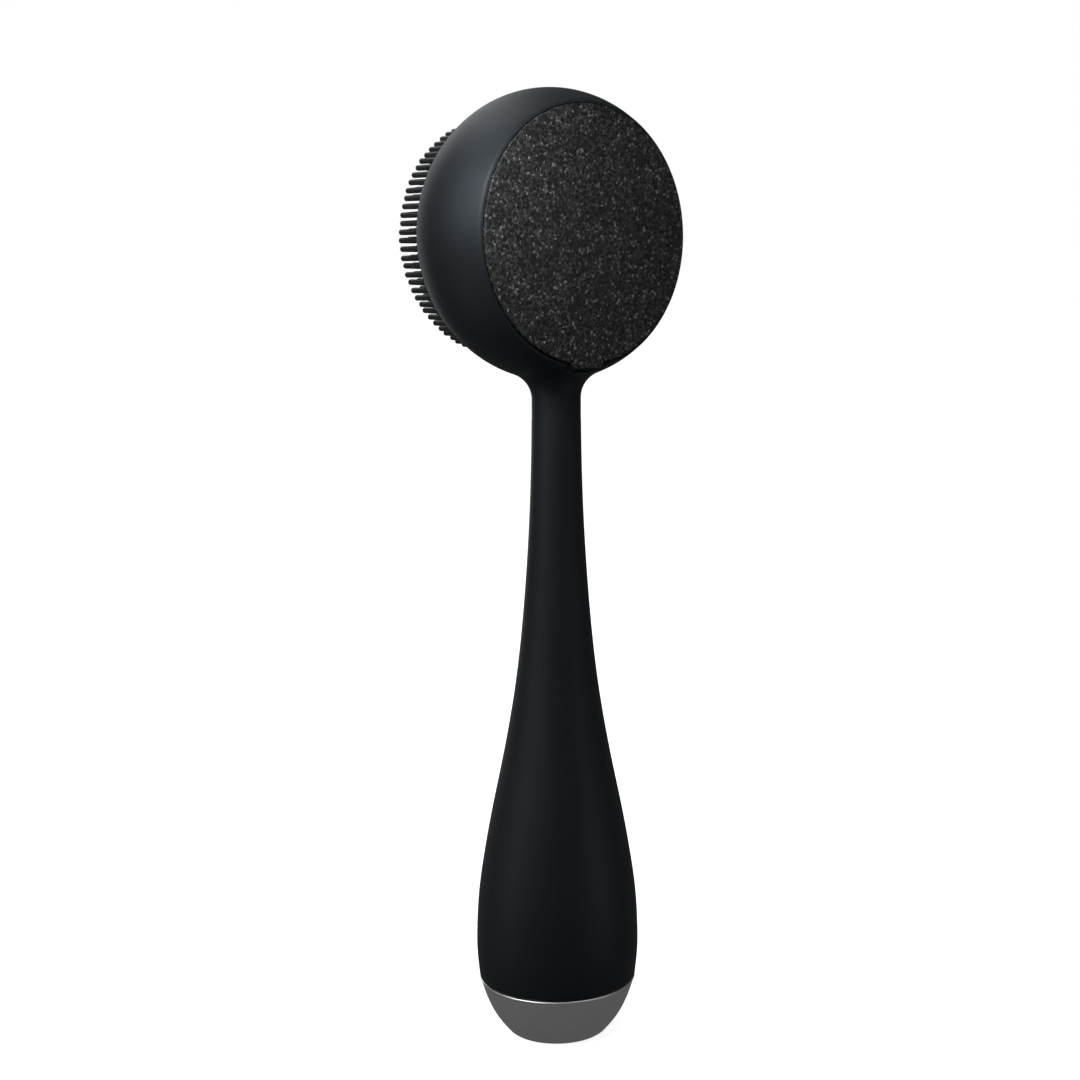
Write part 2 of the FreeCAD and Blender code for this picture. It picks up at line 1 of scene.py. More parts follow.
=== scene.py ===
"""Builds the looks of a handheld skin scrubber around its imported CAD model.

Metres. +Z runs up the handle, the scrub pad faces -Y and the bristles face +Y. Each operator makes one
piece or one group of like pieces; main() runs them in order.
"""

import math

import bmesh
import bpy
import numpy as np
from bpy.props import FloatProperty, FloatVectorProperty, IntProperty, PointerProperty
from mathutils import Matrix, Vector


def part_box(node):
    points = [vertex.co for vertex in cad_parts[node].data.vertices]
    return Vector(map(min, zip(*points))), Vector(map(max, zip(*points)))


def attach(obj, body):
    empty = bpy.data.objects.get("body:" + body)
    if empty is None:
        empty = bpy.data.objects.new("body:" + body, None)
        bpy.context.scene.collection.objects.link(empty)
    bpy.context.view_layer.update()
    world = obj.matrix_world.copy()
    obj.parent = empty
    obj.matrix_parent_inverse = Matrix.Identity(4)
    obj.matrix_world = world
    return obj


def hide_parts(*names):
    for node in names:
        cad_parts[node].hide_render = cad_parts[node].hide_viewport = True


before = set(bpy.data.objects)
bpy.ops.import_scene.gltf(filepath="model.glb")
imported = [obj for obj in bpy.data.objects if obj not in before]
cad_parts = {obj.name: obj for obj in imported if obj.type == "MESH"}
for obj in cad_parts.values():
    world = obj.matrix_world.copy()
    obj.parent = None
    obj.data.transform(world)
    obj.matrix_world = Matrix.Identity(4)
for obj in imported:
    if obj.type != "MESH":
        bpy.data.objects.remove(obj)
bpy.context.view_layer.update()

bl_info = {
    "name": "Skin scrubber",
    "version": (1, 0, 0),
    "blender": (4, 5, 0),
    "location": "View3D > Sidebar > Scrubber",
    "description": "Silicone skin scrubber with bristles, a gritty pad and a metal base cap",
    "category": "Object",
}

MM = 0.001

SLEEVE_LOW, SLEEVE_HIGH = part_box("silicone_sleeve")
PAD_LOW, PAD_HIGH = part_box("scrub_pad")
BRISTLE_LOW, BRISTLE_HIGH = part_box("bristle_pad")
CAP_LOW, CAP_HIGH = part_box("base_cap")
BUTTON_LOW, BUTTON_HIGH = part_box("power_button")

HEAD_R = SLEEVE_HIGH.x
HEAD_Z = SLEEVE_HIGH.z - HEAD_R
PAD_R = PAD_HIGH.x
SEAM_Z = SLEEVE_LOW.z
BUTTON_R = BUTTON_HIGH.x
BUTTON_Z = (BUTTON_LOW.z + BUTTON_HIGH.z) / 2

# The handle's outline from the seam up, as (radius, height) in millimetres.
HANDLE_OUTLINE = [
    (22.6, 16.3), (23.35, 24.0), (23.35, 31.0), (22.7, 41.6), (21.0, 53.6), (18.85, 65.5),
    (16.4, 77.3), (14.1, 89.1), (12.15, 100.8), (10.65, 112.4), (9.5, 124.0), (8.6, 135.5),
    (7.85, 147.5), (7.35, 159.0), (7.05, 170.5), (6.9, 183.0),
]
# The base cap's outline from the flat up to the seam.
CAP_OUTLINE = [(13.5, 0.0), (14.55, 0.5), (16.7, 3.1), (19.2, 7.0), (21.2, 11.7), (22.6, 16.1)]


# ---- settings ----
class ScrubberHead(bpy.types.PropertyGroup):
    """Shape of the silicone head and of the neck's blend into it."""

    depth: FloatProperty(name="Half depth", description="Ellipsoid's half depth",
                         default=32.2 * MM, unit="LENGTH")
    shift: FloatProperty(name="Shift", description="Ellipsoid's centre towards the bristles",
                         default=1.0 * MM)
    pad_rim: FloatProperty(name="Pad rim", description="Y of the rim round the pad", default=-13.4 * MM)
    bristle_rim: FloatProperty(name="Bristle rim", description="Y of the bristle rim", default=17.5 * MM)
    rim_round: FloatProperty(name="Rim radius", description="Rounding of both rims",
                             default=1.6 * MM, unit="LENGTH")
    blend: FloatProperty(name="Neck blend", description="Fillet from neck to head",
                         default=7.5 * MM, unit="LENGTH")
    skin: FloatProperty(name="Skin", description="Silicone thickness", default=1.6 * MM, unit="LENGTH")


class ScrubberBristles(bpy.types.PropertyGroup):
    """Layout and shape of the silicone bristles."""

    ring: FloatProperty(name="Outer ring", description="Radius of the outermost ring", default=32.35 * MM)
    ring_step: FloatProperty(name="Ring step", description="Distance between rings",
                             default=2.6 * MM, unit="LENGTH")
    pitch: FloatProperty(name="Pitch", description="Distance between bristles",
                         default=2.34 * MM, unit="LENGTH")
    start: FloatProperty(name="Start", description="Where the rings line up",
                         default=math.radians(187), subtype="ANGLE")
    radius: FloatProperty(name="Radius", description="Radius of one bristle",
                          default=0.86 * MM, unit="LENGTH")
    lean: FloatProperty(name="Lean", description="Largest random lean",
                        default=math.radians(1.0), subtype="ANGLE")
    seed: IntProperty(name="Seed", description="Seed of the lean and length", default=4)


class ScrubberGrit(bpy.types.PropertyGroup):
    """Relief of the gritty pad."""

    grain: FloatProperty(name="Grain", description="Size of one grain", default=0.62 * MM, unit="LENGTH")
    relief: FloatProperty(name="Relief", description="Height of the grains", default=0.20 * MM, unit="LENGTH")
    step: FloatProperty(name="Step", description="Mesh spacing on the face",
                        default=0.235 * MM, unit="LENGTH")


class ScrubberColours(bpy.types.PropertyGroup):
    """Base colours of the visible finishes."""

    silicone: FloatVectorProperty(name="Silicone", description="Silicone skin", subtype="COLOR",
                                  default=(0.0068, 0.0082, 0.0090))
    grit: FloatVectorProperty(name="Grit", description="Pad face", subtype="COLOR",
                              default=(0.0125, 0.0128, 0.013))
    metal: FloatVectorProperty(name="Metal", description="Base cap", subtype="COLOR",
                               default=(0.95, 0.95, 0.93))


class ScrubberStudio(bpy.types.PropertyGroup):
    """Camera and lights."""

    distance: FloatProperty(name="Distance", description="Camera to handle axis",
                            default=503.9 * MM, unit="LENGTH")
    side: FloatProperty(name="Side step", description="Camera to the right", default=23.6 * MM)
    height: FloatProperty(name="Height", description="Camera height", default=217.8 * MM, unit="LENGTH")
    azimuth: FloatProperty(name="Azimuth", description="Camera azimuth",
                           default=math.radians(-41.70), subtype="ANGLE")
    pitch: FloatProperty(name="Pitch", description="Camera looks down",
                         default=math.radians(8.31), subtype="ANGLE")
    roll: FloatProperty(name="Roll", description="Camera roll", default=math.radians(0.25), subtype="ANGLE")
    lens: FloatProperty(name="Lens", description="Focal length in millimetres", default=60.0)
    shift: FloatProperty(name="Shift", description="Sideways lens shift", default=-0.0926)
    key: FloatProperty(name="Key", description="Softbox at the left, above", default=1.4, unit="POWER")
    top: FloatProperty(name="Top", description="Softbox overhead, to the right", default=1.5, unit="POWER")
    back: FloatProperty(name="Back", description="Softbox overhead, behind the left side",
                        default=2.8, unit="POWER")
    edge: FloatProperty(name="Edge", description="Softbox behind, to the left", default=1.4, unit="POWER")
    low: FloatProperty(name="Low", description="Softbox low behind the left side", default=0.8, unit="POWER")
    near: FloatProperty(name="Near", description="Small softbox close to the head",
                        default=0.085, unit="POWER")
    foot: FloatProperty(name="Foot", description="Softboxes beside the base", default=0.045, unit="POWER")
    room: FloatProperty(name="Room", description="Strength of the soft light from all round", default=0.09)


# ---- node helpers ----
class Wire:
    """One shader socket in a sum: arithmetic with numbers or other wires adds Math nodes."""

    def __init__(self, finish, socket):
        self.finish = finish
        self.socket = socket

    def math(self, operation, *values):
        return self.finish.node("ShaderNodeMath", {"operation": operation}, dict(enumerate(values)))

    def __add__(self, other):
        return self.math("ADD", self, other)

    def __radd__(self, other):
        return self.math("ADD", other, self)

    def __sub__(self, other):
        return self.math("SUBTRACT", self, other)

    def __rsub__(self, other):
        return self.math("SUBTRACT", other, self)

    def __mul__(self, other):
        return self.math("MULTIPLY", self, other)

    def __gt__(self, other):
        return self.math("GREATER_THAN", self, other)


class Finish:
    """One material: a Principled shader and the nodes that feed it."""

    def __init__(self, name, **constants):
        self.material = bpy.data.materials.new(name)
        self.material.use_nodes = True
        self.tree = self.material.node_tree
        self.shader = self.tree.nodes["Principled BSDF"]
        for socket, value in constants.items():
            self.shader.inputs[socket.replace("_", " ")].default_value = value
        self.place = self.node("ShaderNodeTexCoord", output="Object")

    def node(self, kind, settings=None, inputs=None, output=0):
        """Adds a node: its settings first, then its sockets' values or links."""
        node = self.tree.nodes.new(kind)
        for name, value in (settings or {}).items():
            setattr(node, name, value)
        for key, value in (inputs or {}).items():
            self.feed(node.inputs[key], value)
        return Wire(self, node.outputs[output])

    def feed(self, socket, value):
        if isinstance(value, Wire):
            self.tree.links.new(value.socket, socket)
        else:
            socket.default_value = value

    def set(self, **sockets):
        for name, value in sockets.items():
            self.feed(self.shader.inputs[name.replace("_", " ")], value)

    def noise(self, size, detail=2.0, roughness=0.5, stretch=(1, 1, 1)):
        """Noise whose features are about size metres across."""
        place = self.place
        if stretch != (1, 1, 1):
            place = self.node("ShaderNodeMapping", {}, {"Vector": place, "Scale": stretch})
        return self.node("ShaderNodeTexNoise", {}, {"Vector": place, "Scale": 1 / size, "Detail": detail,
                                                    "Roughness": roughness})

    def cells(self, size, output="Distance"):
        """Voronoi cells about size metres across."""
        sockets = {"Vector": self.place, "Scale": 1 / size}
        return self.node("ShaderNodeTexVoronoi", {"feature": "F1"}, sockets, output)

    def mix(self, factor, low, high):
        """Colour low where factor is 0 and high where it is 1."""
        low, high = ((*c, 1.0) if isinstance(c, (tuple, list)) and len(c) == 3 else c for c in (low, high))
        return self.node("ShaderNodeMix", {"data_type": "RGBA"}, {0: factor, 6: low, 7: high}, 2)

    def bump(self, height, strength, depth):
        return self.node("ShaderNodeBump", {}, {"Height": height, "Strength": strength, "Distance": depth})

    def clamp(self, value, low, high):
        """0 at low and 1 at high, held there beyond."""
        return self.node("ShaderNodeMapRange", {"clamp": True}, {"Value": value, 1: low, 2: high})


def shade(colour, factor):
    """A darker or lighter colour."""
    return tuple(min(1.0, c * factor) for c in colour)


# ---- finishes ----
def silicone_finish(name="Soft-touch silicone"):
    colour = tuple(bpy.context.scene.scrubber_colours.silicone)
    f = Finish(name, Specular_IOR_Level=0.30, Specular_Tint=(0.76, 0.87, 1.0, 1.0))
    cloud = f.noise(0.022, 3.0)
    haze = f.noise(0.0035, 4.0, 0.6)
    pores = f.noise(0.00032, 2.0, 0.7)
    f.set(
        Base_Color=f.mix(cloud * 0.6 + haze * 0.4, shade(colour, 0.82), shade(colour, 1.22)),
        Roughness=0.47 + cloud * 0.06 + haze * 0.05,
        Normal=f.bump(pores, 0.22, 0.00006),
    )
    return f.material


def grit_finish():
    colour = tuple(bpy.context.scene.scrubber_colours.grit)
    f = Finish("Black grit", Specular_IOR_Level=0.28)
    grain_size = 0.00058
    chips = f.cells(grain_size, "Color")
    tone = f.node("ShaderNodeSeparateColor", {}, {0: chips}, 0)
    # Painted glints: a few random cells get a base colour 14 times the grit's, a painted highlight standing
    # in for light sparkling off the grains.
    painted_glint = f.node("ShaderNodeSeparateColor", {}, {0: chips}, 1)
    rough = f.noise(0.00040, 2.0, 0.7)
    patch = f.noise(0.008, 3.0)
    grain = f.mix(tone * tone * (0.6 + patch * 0.6), shade(colour, 0.35), shade(colour, 4.2))
    f.set(
        Base_Color=f.mix(f.clamp(painted_glint, 0.90, 1.0), grain, shade(colour, 14.0)),
        Roughness=f.clamp(0.62 - tone * 0.22 + rough * 0.12, 0.0, 1.0),
        Normal=f.bump(rough + (1.0 - f.cells(grain_size)) * 0.8, 1.0, 0.00022),
    )
    return f.material


def metal_finish():
    colour = tuple(bpy.context.scene.scrubber_colours.metal)
    f = Finish("Satin gunmetal", Metallic=1.0)
    satin = f.noise(0.0005, 3.0, 0.6, stretch=(1, 1, 6))
    cloud = f.noise(0.012, 2.0)
    wear = f.noise(0.004, 4.0)
    f.set(
        Base_Color=f.mix(cloud * 0.5 + wear * 0.5, shade(colour, 0.88), shade(colour, 1.15)),
        Roughness=0.30 + satin * 0.10 + cloud * 0.05,
        Normal=f.bump(satin, 0.08, 0.00005),
    )
    return f.material


def moulded_finish(name, colour, roughness=0.5, grain=0.0006):
    """Injection-moulded plastic with a fine grain and slight flow marks."""
    f = Finish(name)
    flow = f.noise(0.012, 3.0)
    texture = f.noise(grain, 3.0, 0.6)
    f.set(
        Base_Color=f.mix(flow, shade(colour, 0.90), shade(colour, 1.08)),
        Roughness=(roughness - 0.06) + texture * 0.12,
        Normal=f.bump(texture, 0.15, 0.00006),
    )
    return f.material


def plated_finish(name, colour, roughness=0.28):
    """Plated or drawn metal with fine scratches."""
    f = Finish(name, Metallic=1.0)
    scratches = f.noise(0.0009, 4.0, 0.7, stretch=(1, 8, 1))
    tarnish = f.noise(0.003, 3.0)
    f.set(
        Base_Color=f.mix(tarnish, shade(colour, 0.86), shade(colour, 1.06)),
        Roughness=(roughness - 0.05) + scratches * 0.18,
        Normal=f.bump(scratches, 0.10, 0.00004),
    )
    return f.material


def cell_finish():
    """A plain dark jacket with a copper-coloured band at one end."""
    f = Finish("Cell jacket", Coat_Weight=0.4)
    height = f.node("ShaderNodeSeparateXYZ", {}, {0: f.place}, 2)
    band = height > 0.047
    flow = f.noise(0.004, 2.0)
    jacket = f.mix(flow, (0.02, 0.022, 0.026), (0.032, 0.035, 0.040))
    f.set(
        Base_Color=f.mix(band, jacket, (0.55, 0.26, 0.10)),
        Metallic=band * 0.8,
        Roughness=0.28 + flow * 0.10,
    )
    return f.material


# ---- mesh helpers ----
class Loft:
    """Points in closed loops, and the quads that join them."""

    def __init__(self):
        self.points = []
        self.faces = []

    def loop(self, points):
        start = len(self.points)
        self.points.extend(tuple(float(c) for c in p) for p in points)
        return list(range(start, start + len(points)))

    def join(self, first, second):
        count = len(first)
        for k in range(count):
            after = (k + 1) % count
            self.faces.append((first[k], first[after], second[after], second[k]))

    def chain(self, loops):
        for first, second in zip(loops, loops[1:]):
            self.join(first, second)

    def fill(self, loop, centre):
        tip = self.loop([centre])[0]
        for k, index in enumerate(loop):
            self.faces.append((index, loop[(k + 1) % len(loop)], tip))

    def finish(self, name, material):
        """A smooth mesh object with no loose points and with its faces outwards."""
        mesh = bpy.data.meshes.new(name)
        mesh.from_pydata(self.points, [], self.faces)
        bm = bmesh.new()
        bm.from_mesh(mesh)
        bmesh.ops.delete(bm, geom=[v for v in bm.verts if not v.link_faces], context="VERTS")
        bmesh.ops.recalc_face_normals(bm, faces=bm.faces)
        bm.to_mesh(mesh)
        bm.free()
        mesh.shade_smooth()
        mesh.materials.append(material)
        piece = bpy.data.objects.new(name, mesh)
        bpy.context.scene.collection.objects.link(piece)
        return piece


def smooth_curve(outline):
    """A function from height to radius in metres, along a natural cubic through an outline in millimetres."""
    heights = np.array([z for _, z in outline]) * MM
    radii = np.array([r for r, _ in outline]) * MM
    count = len(heights)
    gaps = np.diff(heights)
    matrix = np.eye(count)
    right = np.zeros(count)
    for k in range(1, count - 1):
        matrix[k, k - 1:k + 2] = gaps[k - 1], 2 * (gaps[k - 1] + gaps[k]), gaps[k]
        right[k] = 6 * ((radii[k + 1] - radii[k]) / gaps[k] - (radii[k] - radii[k - 1]) / gaps[k - 1])
    bend = np.linalg.solve(matrix, right)

    def radius(height):
        z = np.clip(np.asarray(height, float), heights[0], heights[-1])
        k = np.clip(np.searchsorted(heights, z) - 1, 0, count - 2)
        h = gaps[k]
        low, high = z - heights[k], heights[k + 1] - z
        return (bend[k] * high ** 3 + bend[k + 1] * low ** 3) / (6 * h) \
            + (radii[k] / h - bend[k] * h / 6) * high + (radii[k + 1] / h - bend[k + 1] * h / 6) * low

    return radius


HANDLE_R = smooth_curve(HANDLE_OUTLINE)


def arc(centre, radius, start, end, steps):
    """Points (u, v) along an arc, angles in radians, both ends included."""
    return [
        (centre[0] + radius * math.cos(a), centre[1] + radius * math.sin(a))
        for a in np.linspace(start, end, steps + 1)
    ]


def spun(name, profile, material, steps=160, axis="Z", centre=(0, 0, 0)):
    """A closed turned piece from (radius, distance along the axis) points; both ends lie on the axis."""
    loft = Loft()
    angles = np.linspace(0, 2 * math.pi, steps, endpoint=False)

    def place(r, h, a):
        x, y, z = centre
        u, v = r * math.cos(a), r * math.sin(a)
        return (x + u, y + v, z + h) if axis == "Z" else (x + u, y + h, z + v)

    loops = [loft.loop([place(r, h, a) for a in angles]) for r, h in profile[1:-1]]
    loft.chain(loops)
    for loop, (r, h) in ((loops[0], profile[0]), (loops[-1], profile[-1])):
        loft.fill(loop, place(0, h, 0))
    return loft.finish(name, material)


def grown(piece, name, tree_group, values, material):
    """Runs a Geometry Nodes tree on a piece and returns the result as a plain mesh object."""
    modifier = piece.modifiers.new("Grow", "NODES")
    modifier.node_group = tree_group
    for item in tree_group.interface.items_tree:
        if item.item_type == "SOCKET" and item.in_out == "INPUT" and item.name in values:
            modifier[item.identifier] = values[item.name]
    bpy.context.view_layer.update()
    evaluated = piece.evaluated_get(bpy.context.evaluated_depsgraph_get())
    mesh = bpy.data.meshes.new_from_object(evaluated)
    piece.modifiers.clear()
    mesh.name = name
    mesh.materials.clear()
    mesh.materials.append(material)
    mesh.shade_smooth()
    result = bpy.data.objects.new(name, mesh)
    bpy.context.scene.collection.objects.link(result)
    bpy.data.objects.remove(piece)
    return result


class Growth:
    """A Geometry Nodes tree with named inputs."""

    def __init__(self, name, sockets):
        self.tree = bpy.data.node_groups.new(name, "GeometryNodeTree")
        self.tree.interface.new_socket("Geometry", in_out="INPUT", socket_type="NodeSocketGeometry")
        self.tree.interface.new_socket("Geometry", in_out="OUTPUT", socket_type="NodeSocketGeometry")
        for label, kind in sockets.items():
            self.tree.interface.new_socket(label, in_out="INPUT", socket_type=kind)
        self.inputs = self.tree.nodes.new("NodeGroupInput").outputs

    def node(self, kind, settings=None, inputs=None, output=0):
        node = self.tree.nodes.new(kind)
        for name, value in (settings or {}).items():
            setattr(node, name, value)
        for key, value in (inputs or {}).items():
            if isinstance(value, bpy.types.NodeSocket):
                self.tree.links.new(value, node.inputs[key])
            else:
                node.inputs[key].default_value = value
        return node.outputs[output]

    def sum(self, operation, *values):
        return self.node("ShaderNodeMath", {"operation": operation}, dict(enumerate(values)))

    def end(self, geometry, material):
        real = self.node("GeometryNodeRealizeInstances", {}, {0: geometry})
        done = self.node("GeometryNodeSetMaterial", {}, {"Geometry": real, "Material": material})
        sink = self.tree.nodes.new("NodeGroupOutput")
        self.tree.links.new(done, sink.inputs[0])
        return self.tree


# ---- silicone sleeve ----
AROUND = 128  # points round the neck and handle
HEAD_COLUMNS = 360
HOLE_COLUMNS = 40  # columns of the head's grid that the neck's opening takes
HOLE_ROWS = AROUND // 2 - HOLE_COLUMNS
NECK_FOOT_Z = 179 * MM  # where the neck's fillet has run out
BUTTON_GAP = 0.25 * MM
PAD_GAP = 0.3 * MM
BRISTLE_GAP = 0.15 * MM
POCKET_LEDGE_Y = -10.6 * MM
POCKET_LEDGE = 2.0 * MM  # width of the ledge behind the pad's edge
POCKET_BACK_Y = -9.6 * MM
SOCKET_BACK_Y = 13.0 * MM
NOTCH_GAP = 1.1 * MM  # beside the pull tab


class HeadForm:
    """The head's ellipsoid, its rims and the neck's blend, for the silicone's outside or its inside."""

    def __init__(self, inset):
        s = bpy.context.scene.scrubber_head
        self.inset = inset
        self.radius = HEAD_R - inset
        self.depth = s.depth - inset
        self.shift = s.shift
        self.blend = s.blend if inset == 0 else 3 * MM
        self.neck = HANDLE_OUTLINE[-1][0] * MM - inset

    def turn(self, y):
        """The ellipse's angle at y."""
        return math.asin((y - self.shift) / self.depth)

    def rim(self, y):
        """The head's radius at y."""
        return self.radius * math.cos(self.turn(y))

    def low(self, x, y):
        """Height of the head's underside above or below the point (x, y)."""
        inside = 1 - (x / self.radius) ** 2 - ((y - self.shift) / self.depth) ** 2
        return HEAD_Z - self.radius * np.sqrt(np.maximum(inside, 0))

    def blend_at(self, angle):
        """The fillet in the vertical plane at angle: (circle's height, reach on the head, end angle)."""
        out = np.linspace(self.neck, self.neck + self.blend * 1.2, 200)
        x, y = out * math.cos(angle), out * math.sin(angle)
        z = self.low(x, y)
        slope = np.gradient(z, out)
        tilt = np.arctan(slope)
        centre_out = out + self.blend * np.sin(tilt)
        centre_z = z - self.blend * np.cos(tilt)
        target = self.neck + self.blend
        height, reach, end = (np.interp(target, centre_out, curve) for curve in (centre_z, out, tilt))
        return height, reach, math.pi / 2 + end


def neck_patch(loft, form, hole):
    """Rings from the opening in the head's grid, over the fillet, to an even ring round the neck."""
    edge = np.array([loft.points[i] for i in hole])
    out = np.hypot(edge[:, 0], edge[:, 1])
    angle = np.unwrap(np.arctan2(edge[:, 1], edge[:, 0]))
    even = angle[0] + np.arange(AROUND) * 2 * math.pi / AROUND
    even += np.mean(angle - even)
    head_steps, arc_steps = 4, 12
    total = head_steps + arc_steps
    loops = [hole]
    for step in range(1, total + 1):
        turned = angle + (even - angle) * (step / total)
        ring = []
        for k in range(AROUND):
            circle_z, reach, end = form.blend_at(turned[k])
            if step <= head_steps:
                r = out[k] + (reach - out[k]) * step / head_steps
                z = float(form.low(r * math.cos(turned[k]), r * math.sin(turned[k])))
            else:
                a = end + (math.pi - end) * (step - head_steps) / arc_steps
                r = form.neck + form.blend + form.blend * math.cos(a)
                z = circle_z + form.blend * math.sin(a)
            ring.append((r * math.cos(turned[k]), r * math.sin(turned[k]), z))
        loops.append(loft.loop(ring))
    loops.append(loft.loop([(form.neck * math.cos(a), form.neck * math.sin(a), NECK_FOOT_Z) for a in even]))
    loft.chain(loops)
    return loops[-1], even


def handle_rings(loft, first, angles, inset, button_radius):
    """Rings down the handle to the seam, with a round opening for the button."""
    top_z = loft.points[first[0]][2]
    heights = np.linspace(top_z, SEAM_Z + 0.4 * MM, 136)
    loops = [first]
    for z in heights[1:]:
        r = float(HANDLE_R(z)) - inset
        loops.append(loft.loop([(r * math.cos(a), r * math.sin(a), z) for a in angles]))
    reach = BUTTON_R * 1.45
    rows = [j for j, z in enumerate(heights) if abs(z - BUTTON_Z) < reach]
    r_button = float(HANDLE_R(BUTTON_Z)) - inset
    side = math.asin(min(0.99, reach / r_button))
    gap = np.abs((angles - math.pi / 2 + math.pi) % (2 * math.pi) - math.pi)
    columns = [k for k in range(AROUND) if gap[k] < side]
    columns.sort(key=lambda k: (angles[k] - math.pi / 2 + math.pi) % (2 * math.pi))
    inside = set()
    for j in range(rows[0], rows[-1]):
        for k, after in zip(columns, columns[1:]):
            inside.add((j, min(k, after) if abs(k - after) == 1 else max(k, after)))
    for j in range(len(loops) - 1):
        for k in range(AROUND):
            if (j, k) not in inside:
                after = (k + 1) % AROUND
                loft.faces.append((loops[j][k], loops[j][after], loops[j + 1][after], loops[j + 1][k]))
    opening = [loops[rows[0]][k] for k in columns]
    opening += [loops[j][columns[-1]] for j in rows[1:]]
    opening += [loops[rows[-1]][k] for k in reversed(columns[:-1])]
    opening += [loops[j][columns[0]] for j in reversed(rows[1:-1])]

    edge = np.array([loft.points[i] for i in opening])
    turn = np.arctan2(edge[:, 2] - BUTTON_Z, edge[:, 0])
    out = np.hypot(edge[:, 2] - BUTTON_Z, edge[:, 0])

    def ring(radii, sink=0.0):
        x = radii * np.cos(turn)
        z = BUTTON_Z + radii * np.sin(turn)
        y = np.sqrt(np.maximum((HANDLE_R(z) - inset) ** 2 - x ** 2, 0)) - sink
        return loft.loop(np.stack([x, y, z], 1))

    lip = 0.35 * MM if inset == 0 else 0
    circle = np.full(len(opening), button_radius)
    rings = [opening] + [ring(out + (circle + lip - out) * share) for share in (0.35, 0.7, 1.0)]
    if lip:
        rings += [ring(circle + lip * 0.3, lip * 0.3), ring(circle, lip)]
    loft.chain(rings)
    return loops[-1], rings[-1]


def head_grid(loft, form, rows_at, columns):
    """The band between the rims as loops, open where the neck joins. Returns the loops and the opening."""
    middle = HEAD_COLUMNS // 2
    first, last = middle - HOLE_COLUMNS // 2, middle + HOLE_COLUMNS // 2
    loops = []
    for y in rows_at:
        r = form.rim(y)
        loops.append(loft.loop([(r * math.sin(a), y, HEAD_Z - r * math.cos(a)) for a in columns]))
    for j in range(len(loops) - 1):
        for k in range(HEAD_COLUMNS):
            if first <= k < last and j < HOLE_ROWS:
                continue
            after = (k + 1) % HEAD_COLUMNS
            loft.faces.append((loops[j][k], loops[j][after], loops[j + 1][after], loops[j + 1][k]))
    hole = [loops[0][k] for k in range(first, last)]
    hole += [loops[j][last] for j in range(HOLE_ROWS)]
    hole += [loops[HOLE_ROWS][k] for k in range(last, first, -1)]
    hole += [loops[j][first] for j in range(HOLE_ROWS, 0, -1)]
    return loops, hole


def band_rows(form, low, high, end):
    """Heights along Y of the head's loops: the neck opening's rows, then a few more up to the far rim."""
    opening = np.linspace(form.turn(low), form.turn(high), HOLE_ROWS + 1)
    rest = np.linspace(form.turn(high), form.turn(end), 7)[1:]
    return [form.shift + form.depth * math.sin(t) for t in (*opening, *rest)]


def rounded_rim(form, y_face, radius, inner):
    """Points (radius, y) from the band, round the rim and across its flat to the inner radius."""
    sign = 1 if y_face > form.shift else -1
    corner = form.rim(y_face)
    lean = math.atan2(corner / form.radius ** 2, abs(y_face - form.shift) / form.depth ** 2)
    back = radius * math.tan(lean / 2)
    centre = (corner - back, y_face - sign * radius)
    points = arc(centre, radius, math.pi / 2 - lean, math.pi / 2, 7)
    if sign < 0:
        points = [(u, 2 * centre[1] - v) for u, v in points]
    lip = 0.25 * MM
    for share, drop in ((1, 0), (0.3, 0.3), (0, 1)):
        points.append((inner + lip * share, y_face - sign * lip * drop))
    return points


